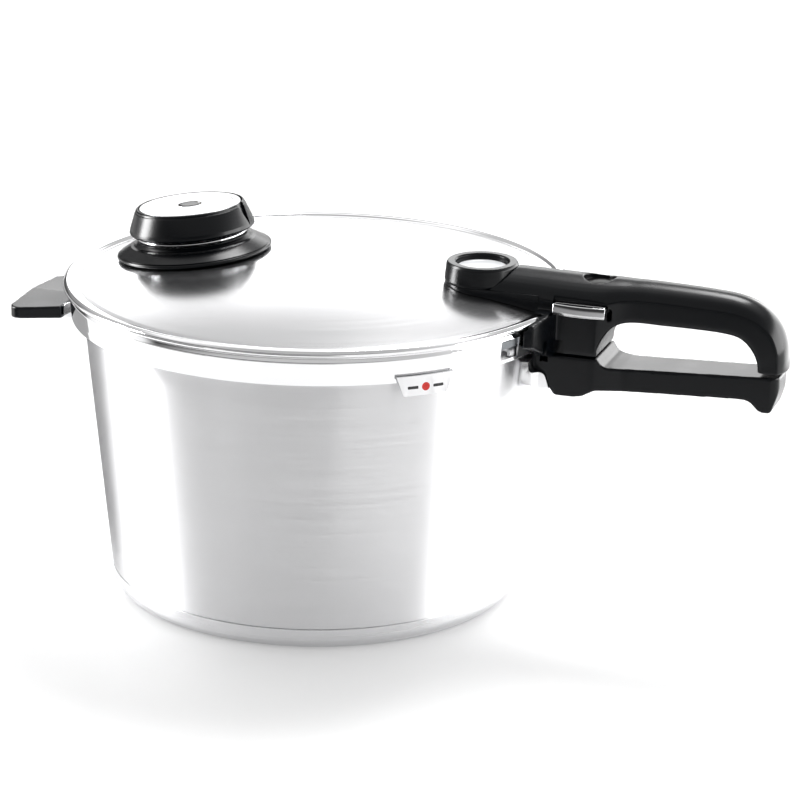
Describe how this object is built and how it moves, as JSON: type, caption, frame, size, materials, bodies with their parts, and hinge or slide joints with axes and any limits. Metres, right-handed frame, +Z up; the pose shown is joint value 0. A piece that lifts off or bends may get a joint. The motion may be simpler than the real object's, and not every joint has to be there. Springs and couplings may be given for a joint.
{
  "type": "stovetop pressure cooker",
  "caption": "Steel stovetop pressure cooker with a bayonet lid, a push-button lock, long paired handles, a helper handle and a turning pressure valve.",
  "frame": {"origin": "centre of the base underside, where the cooker stands on the hob", "axes": "+X along the two long handles, away from the pot, and +Z up"},
  "size_m": [0.4486, 0.2862, 0.2165],
  "materials": {
    "pot_steel": "satin stainless steel with fine lines running round the wall",
    "base_steel": "stainless steel, brighter than the wall",
    "lid_steel": "stainless steel, brushed in circles on the dome and polished at the skirt",
    "base_aluminium": "plain aluminium disc",
    "chrome_trim": "polished stainless steel",
    "crown_steel": "satin plate, finely turned in circles",
    "plain_steel": "plain dull steel",
    "black_plastic": "satin black phenolic moulding",
    "gloss_black": "glossy black plastic",
    "pale_plastic": "pale grey plastic",
    "grey_silicone": "soft grey silicone",
    "signal_red": "red enamel",
    "signal_green": "green plastic",
    "signal_yellow": "yellow plastic"
  },
  "bodies": {
    "pot": {"base_cap": "base_steel", "base_core": "base_aluminium", "pot_body": "pot_steel", "pot_handle_bracket": "plain_steel", "flame_guard": "chrome_trim", "pot_handle": "black_plastic", "pot_handle_screw": "plain_steel", "helper_bracket": "plain_steel", "helper_handle": "black_plastic", "helper_screw": "plain_steel"},
    "seal_ring": {"lid_gasket": "grey_silicone"},
    "lid": {"lid_shell": "lid_steel", "position_tab": "chrome_trim", "position_dot": "signal_red", "lid_handle": "black_plastic", "lid_handle_foot": "black_plastic", "lid_handle_cover": "black_plastic", "nose_disc": "pale_plastic", "lock_window": "gloss_black", "lock_guide": "black_plastic", "lock_spring": "plain_steel", "vent_seal": "grey_silicone", "handle_stud": "plain_steel", "handle_nut": "black_plastic", "valve_base": "black_plastic", "valve_trim": "chrome_trim", "valve_housing": "plain_steel", "valve_washer": "grey_silicone", "valve_nut": "plain_steel", "valve_diaphragm": "grey_silicone", "valve_spring": "plain_steel"},
    "crown": {"crown_knob": "black_plastic", "crown_plate": "crown_steel"},
    "indicator": {"indicator_rod": "black_plastic", "indicator_band_yellow": "signal_yellow", "indicator_band_green": "signal_green", "indicator_band_red": "signal_red"},
    "vent": {"vent_pin": "plain_steel"},
    "button": {"button_cap": "chrome_trim", "button_plate": "gloss_black", "button_slider": "black_plastic", "lock_flag": "signal_green"},
    "bolt": {"lock_bolt": "plain_steel"}
  },
  "joints": [
    {"name": "lid_lift", "type": "slide", "parent": "pot", "child": "seal_ring", "axis": [0, 0, 1], "range_m": [0, 0.2]},
    {"name": "lid_turn", "type": "hinge", "parent": "seal_ring", "child": "lid", "pos_m": [0, 0, 0], "axis": [0, 0, 1], "range_deg": [0, 46]},
    {"name": "crown_turn", "type": "hinge", "parent": "lid", "child": "crown", "pos_m": [-0.075, 0, 0.18648], "axis": [-0.1071, 0, 0.9942], "range_deg": [0, 120]},
    {"name": "indicator_rise", "type": "slide", "parent": "lid", "child": "indicator", "axis": [-0.1071, 0, 0.9942], "range_m": [0, 0.005], "stiffness_N_per_m": 400, "springref_m": -0.002, "deforming": ["valve_spring"]},
    {"name": "vent_rise", "type": "slide", "parent": "lid", "child": "vent", "axis": [0.1314, 0, 0.9913], "range_m": [0, 0.0033]},
    {"name": "button_press", "type": "slide", "parent": "lid", "child": "button", "axis": [0, 1, 0], "range_m": [0, 0.004], "stiffness_N_per_m": 400, "springref_m": -0.002},
    {"name": "bolt_lift", "type": "slide", "parent": "lid", "child": "bolt", "axis": [0, 0, 1], "range_m": [0, 0.004], "stiffness_N_per_m": 300, "springref_m": -0.001, "deforming": ["lock_spring"]}
  ],
  "couplings": [
    {"joint": "bolt_lift", "follows": "button_press", "ratio": 1}
  ]
}
